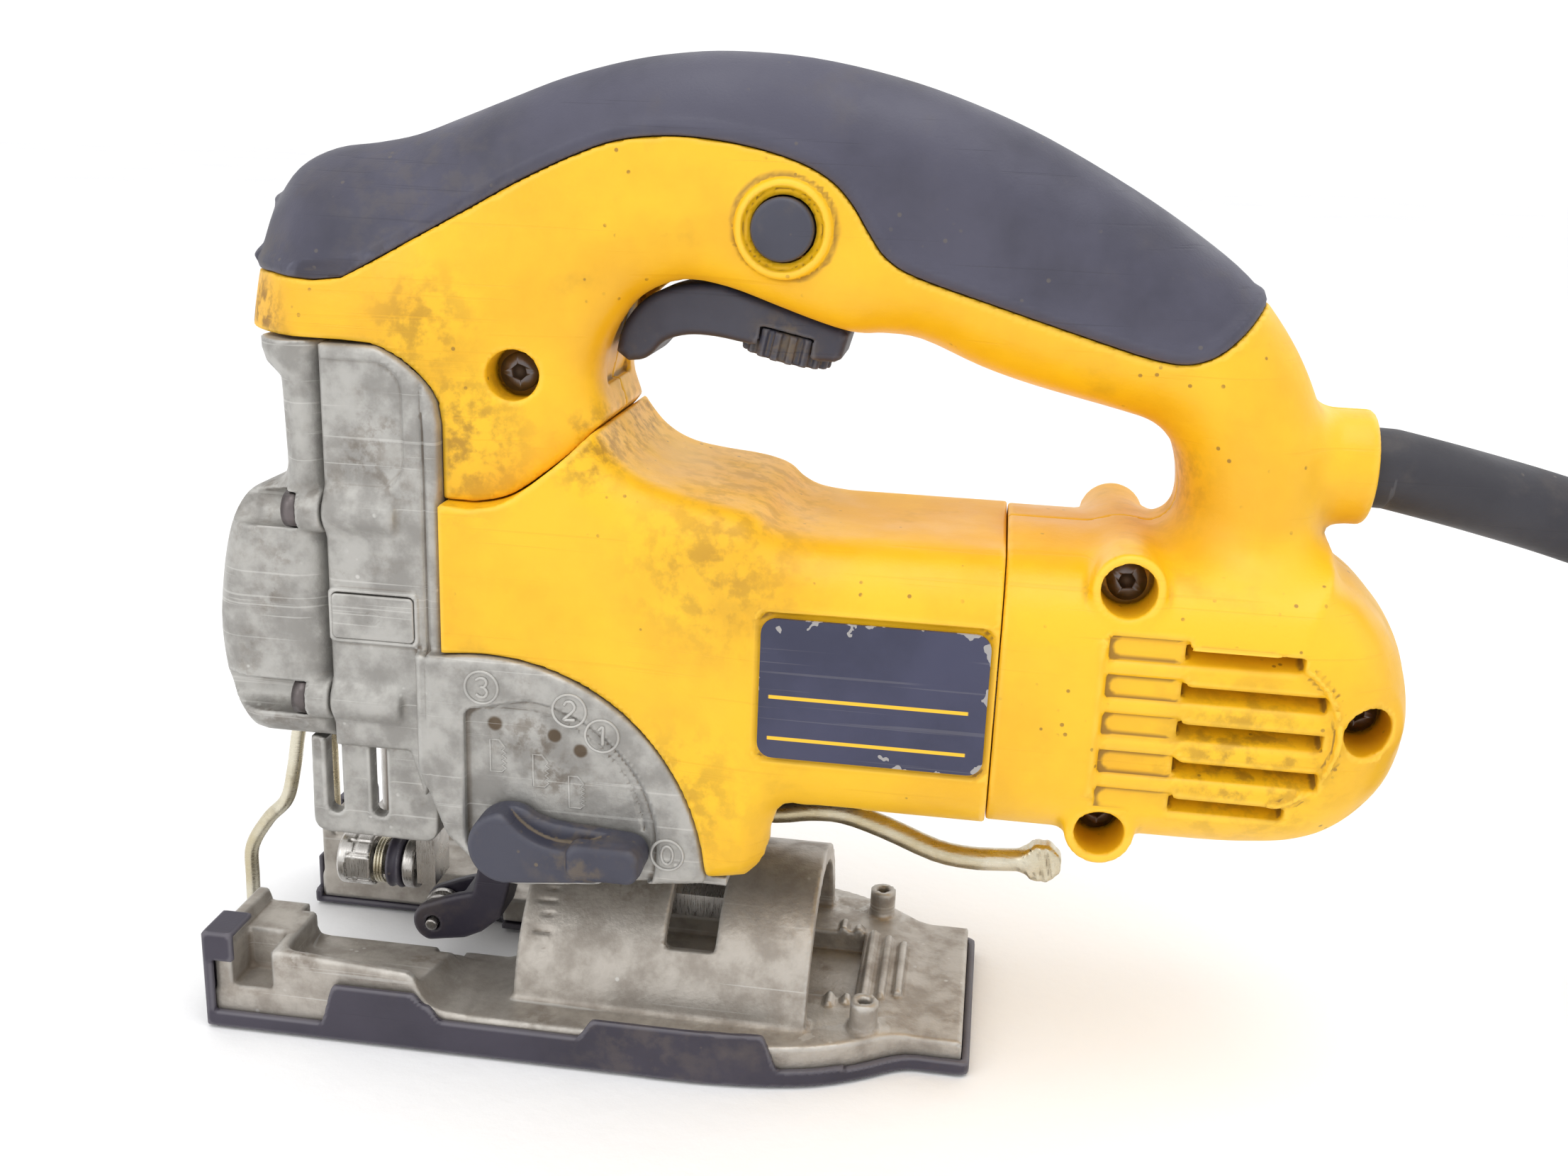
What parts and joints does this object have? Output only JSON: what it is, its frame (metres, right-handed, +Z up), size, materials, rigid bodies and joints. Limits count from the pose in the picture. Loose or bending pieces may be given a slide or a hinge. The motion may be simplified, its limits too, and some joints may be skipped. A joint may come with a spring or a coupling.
{
  "type": "barrel jigsaw",
  "caption": "Corded orbital jigsaw with a closed soft-grip handle, keyless blade clamp, guide roller and a bevelling fork shoe.",
  "frame": {"origin": "on the sole of the shoe at the mid-plane, under the bevel trunnion", "axes": "+X from the blade to the rear of the motor, +Y to the tool's right side, +Z up from the sole"},
  "size_m": [0.4302, 0.1197, 0.2023],
  "materials": {
    "yellow_housing": "moulded warm yellow plastic, lightly textured, scuffed and dusty",
    "soft_grip": "matt blue-grey soft overmould",
    "charcoal_controls": "fine-textured charcoal plastic",
    "cast_alloy": "tumbled die-cast alloy, dull grey",
    "shoe_alloy": "cast and worn, warm grey",
    "cover_plastic": "dark plastic, scuffed edges",
    "zinc_steel": "yellow zinc plated wire, worn",
    "steel": "turned and ground steel",
    "dark_steel": "blackened steel",
    "copper": "copper segments",
    "label_film": "dark satin film with a thin yellow rule",
    "cord_rubber": "black rubber sheath"
  },
  "bodies": {
    "tool": {"handle_shell_left": "yellow_housing", "handle_shell_right": "yellow_housing", "field_case": "yellow_housing", "grip_left": "soft_grip", "grip_right": "soft_grip", "handle_screw_front": "dark_steel", "handle_screw_upper_rear": "dark_steel", "handle_screw_end": "dark_steel", "handle_screw_lower_rear": "dark_steel", "cover_screw_upper_left": "dark_steel", "cover_screw_upper_right": "dark_steel", "cover_screw_lower_left": "dark_steel", "cover_screw_lower_right": "dark_steel", "stator": "dark_steel", "carbon_brush_left": "dark_steel", "carbon_brush_right": "dark_steel", "clamp_bolt": "dark_steel", "switch_module": "charcoal_controls", "cord_tie": "charcoal_controls", "label_plate_left": "label_film", "label_plate_right": "label_film", "front_bearing": "steel", "rear_bearing": "steel", "gear_axle": "steel", "clamp_plate": "steel", "brush_holder_left": "zinc_steel", "brush_holder_right": "zinc_steel", "plunger_bush_upper": "zinc_steel", "plunger_bush_lower": "zinc_steel", "wire_guard": "zinc_steel", "gear_case": "cast_alloy", "gear_case_cover": "cast_alloy", "access_plug": "cast_alloy", "cord_sleeve": "cord_rubber", "cord_tube": "cord_rubber", "cord_coil": "cord_rubber", "plug": "cord_rubber"},
    "armature": {"armature_shaft": "steel", "armature_core": "dark_steel", "commutator": "copper", "fan": "charcoal_controls"},
    "drive_gear": {"drive_gear": "steel"},
    "plunger": {"plunger": "steel", "clamp_ring": "cover_plastic", "clamp_collar_rear": "steel", "clamp_spring": "zinc_steel"},
    "clamp_collar": {"clamp_collar": "steel"},
    "trigger": {"trigger": "charcoal_controls"},
    "speed_dial": {"speed_dial": "charcoal_controls"},
    "lock_button": {"lock_button": "charcoal_controls"},
    "orbital_lever": {"orbital_lever": "charcoal_controls"},
    "roller_bracket": {"roller_bracket": "cover_plastic"},
    "guide_roller": {"guide_roller": "steel"},
    "shoe": {"shoe": "shoe_alloy", "shoe_cover": "cover_plastic"},
    "bevel_lever": {"bevel_lever": "zinc_steel"}
  },
  "joints": [
    {"name": "armature_spin", "type": "hinge", "parent": "tool", "child": "armature", "pos_m": [0, 0, 0.0846], "axis": [1, 0, 0], "continuous": true},
    {"name": "gear_spin", "type": "hinge", "parent": "tool", "child": "drive_gear", "pos_m": [-0.037, 0, 0.1129], "axis": [1, 0, 0], "continuous": true},
    {"name": "plunger_slide", "type": "slide", "parent": "tool", "child": "plunger", "axis": [0, 0, 1], "range_m": [0, 0.026]},
    {"name": "clamp_collar_turn", "type": "hinge", "parent": "plunger", "child": "clamp_collar", "pos_m": [-0.057, 0, 0.0222], "axis": [1, 0, 0], "range_deg": [0, 90], "stiffness_Nm_per_rad": 0.05},
    {"name": "trigger_slide", "type": "slide", "parent": "tool", "child": "trigger", "axis": [0.2, 0, 0.9798], "range_m": [0, 0.006], "stiffness_N_per_m": 900},
    {"name": "speed_dial_turn", "type": "hinge", "parent": "trigger", "child": "speed_dial", "pos_m": [0.0382, 0, 0.1476], "axis": [0.2, 0, 0.9798], "range_deg": [0, 270]},
    {"name": "lock_button_press", "type": "slide", "parent": "tool", "child": "lock_button", "axis": [0, 1, 0], "range_m": [0, 0.004], "stiffness_N_per_m": 500},
    {"name": "orbital_lever_turn", "type": "hinge", "parent": "tool", "child": "orbital_lever", "pos_m": [-0.011, -0.03, 0.047], "axis": [0, -1, 0], "range_deg": [0, 96]},
    {"name": "roller_bracket_swing", "type": "hinge", "parent": "tool", "child": "roller_bracket", "pos_m": [-0.02, 0, 0.044], "axis": [0, 1, 0], "range_deg": [0, 4]},
    {"name": "guide_roller_spin", "type": "hinge", "parent": "roller_bracket", "child": "guide_roller", "pos_m": [-0.0385, 0, 0.0102], "axis": [0, 1, 0], "continuous": true},
    {"name": "shoe_bevel", "type": "hinge", "parent": "tool", "child": "shoe", "pos_m": [0, 0, 0.004], "axis": [1, 0, 0], "range_deg": [-45, 45]},
    {"name": "bevel_lever_swing", "type": "hinge", "parent": "tool", "child": "bevel_lever", "pos_m": [0.0252, 0, 0.0437], "axis": [0, 0, -1], "range_deg": [0, 40]}
  ],
  "couplings": [
    {"joint": "gear_spin", "follows": "armature_spin", "ratio": -0.16667}
  ]
}
